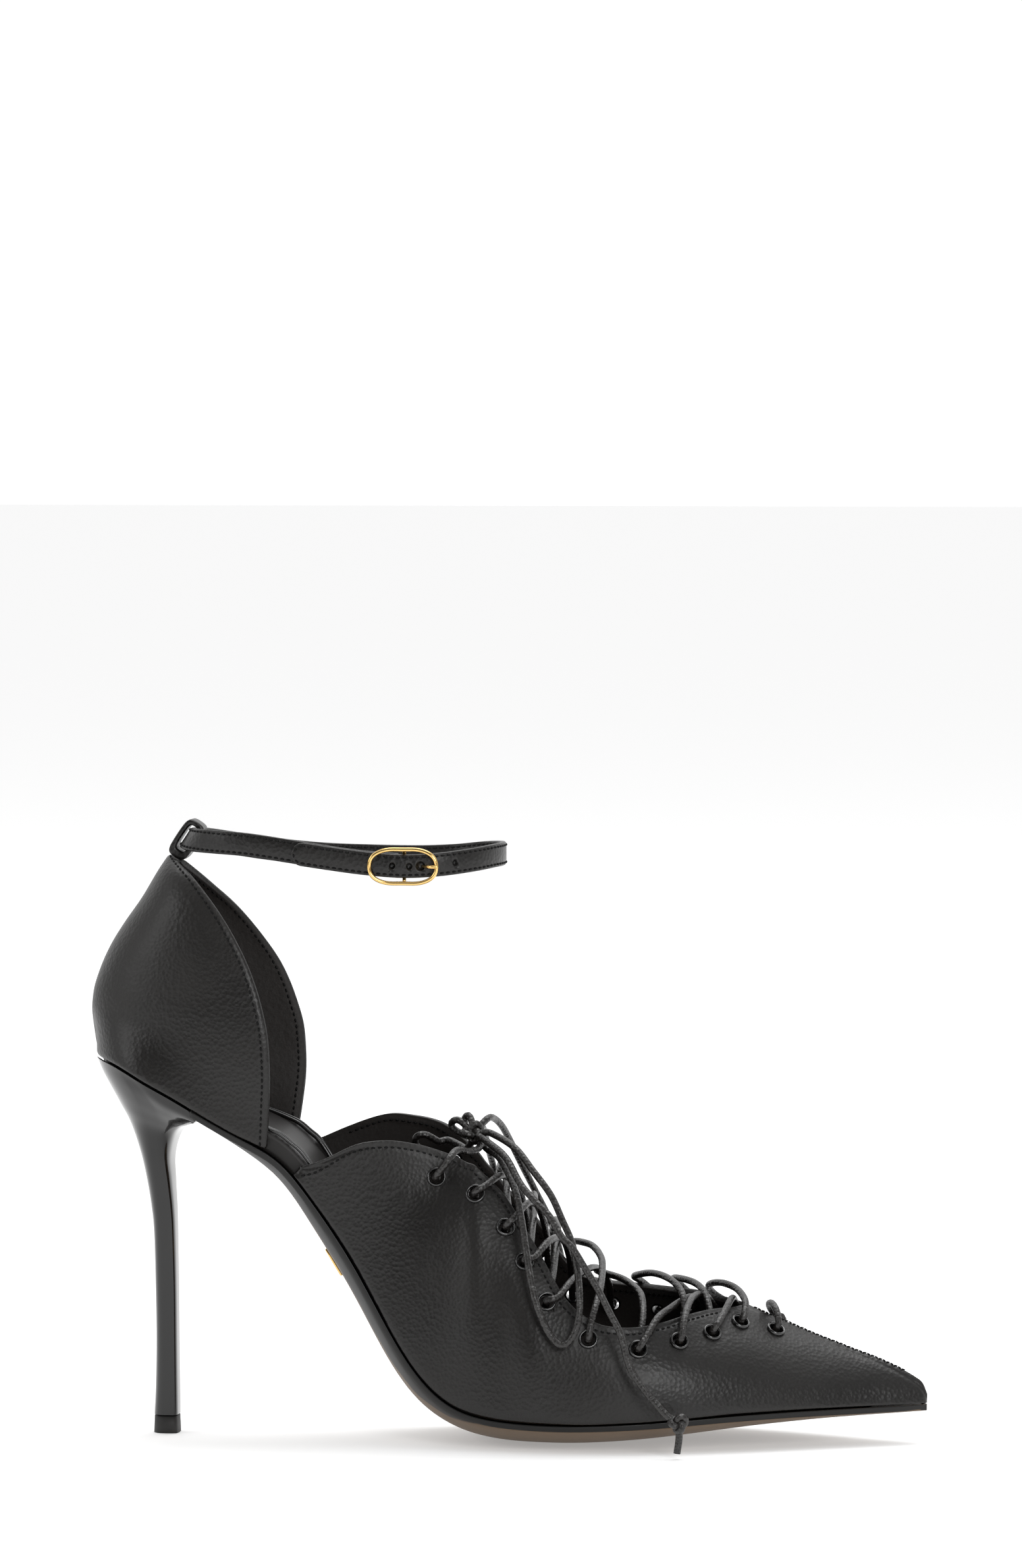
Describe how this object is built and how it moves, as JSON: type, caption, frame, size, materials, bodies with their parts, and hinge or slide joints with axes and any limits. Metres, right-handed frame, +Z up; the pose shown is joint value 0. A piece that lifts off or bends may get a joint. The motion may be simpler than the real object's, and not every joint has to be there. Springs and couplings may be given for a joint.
{
  "type": "lace up high heel shoe",
  "caption": "High-heeled pointed shoe with a cutaway lacing vamp, a closed counter, a slim heel and a buckled ankle strap.",
  "frame": {"origin": "centre of the heel tip's face on the floor", "axes": "+X forward to the toe, +Z up, +Y to the inner side of the foot (the left of the shoe when it faces +X)"},
  "size_m": [0.2375, 0.0901, 0.1745],
  "materials": {
    "calf": "black fine-grained calf, soft shine",
    "footbed": "black sock lining, satin",
    "sole_leather": "tan leather underside with black edges",
    "heel_lacquer": "high-gloss black",
    "heel_tip": "matte black",
    "gold_metal": "polished gold colour",
    "eyelet_enamel": "black enamel",
    "lace_cord": "round waxed cord, satin black"
  },
  "bodies": {
    "root": {"outsole": "sole_leather", "heel": "heel_lacquer", "top_piece": "heel_tip", "insole": "footbed", "quarter": "calf", "vamp": "calf", "back_loop": "calf", "ankle_strap": "calf", "buckle_frame": "gold_metal", "buckle_prong": "gold_metal", "sole_plate": "gold_metal", "eyelet_outer_01": "eyelet_enamel", "eyelet_outer_02": "eyelet_enamel", "eyelet_outer_03": "eyelet_enamel", "eyelet_outer_04": "eyelet_enamel", "eyelet_outer_05": "eyelet_enamel", "eyelet_outer_06": "eyelet_enamel", "eyelet_outer_07": "eyelet_enamel", "eyelet_outer_08": "eyelet_enamel", "eyelet_outer_09": "eyelet_enamel", "eyelet_outer_10": "eyelet_enamel", "eyelet_outer_11": "eyelet_enamel", "eyelet_inner_01": "eyelet_enamel", "eyelet_inner_02": "eyelet_enamel", "eyelet_inner_03": "eyelet_enamel", "eyelet_inner_04": "eyelet_enamel", "eyelet_inner_05": "eyelet_enamel", "eyelet_inner_06": "eyelet_enamel", "eyelet_inner_07": "eyelet_enamel", "eyelet_inner_08": "eyelet_enamel", "eyelet_inner_09": "eyelet_enamel", "eyelet_inner_10": "eyelet_enamel", "eyelet_inner_11": "eyelet_enamel", "lace_cross_1": "lace_cord", "lace_cross_2": "lace_cord", "lace_cross_3": "lace_cord", "lace_cross_4": "lace_cord", "lace_cross_5": "lace_cord", "lace_cross_6": "lace_cord", "lace_cross_7": "lace_cord", "lace_cross_8": "lace_cord", "lace_bar_front": "lace_cord", "lace_knot": "lace_cord", "lace_bow_outer": "lace_cord", "lace_bow_inner": "lace_cord", "lace_end": "lace_cord", "lace_leg_outer": "lace_cord", "lace_leg_inner": "lace_cord", "lace_end_knot": "lace_cord", "lace_end_tail": "lace_cord"}
  },
  "joints": []
}
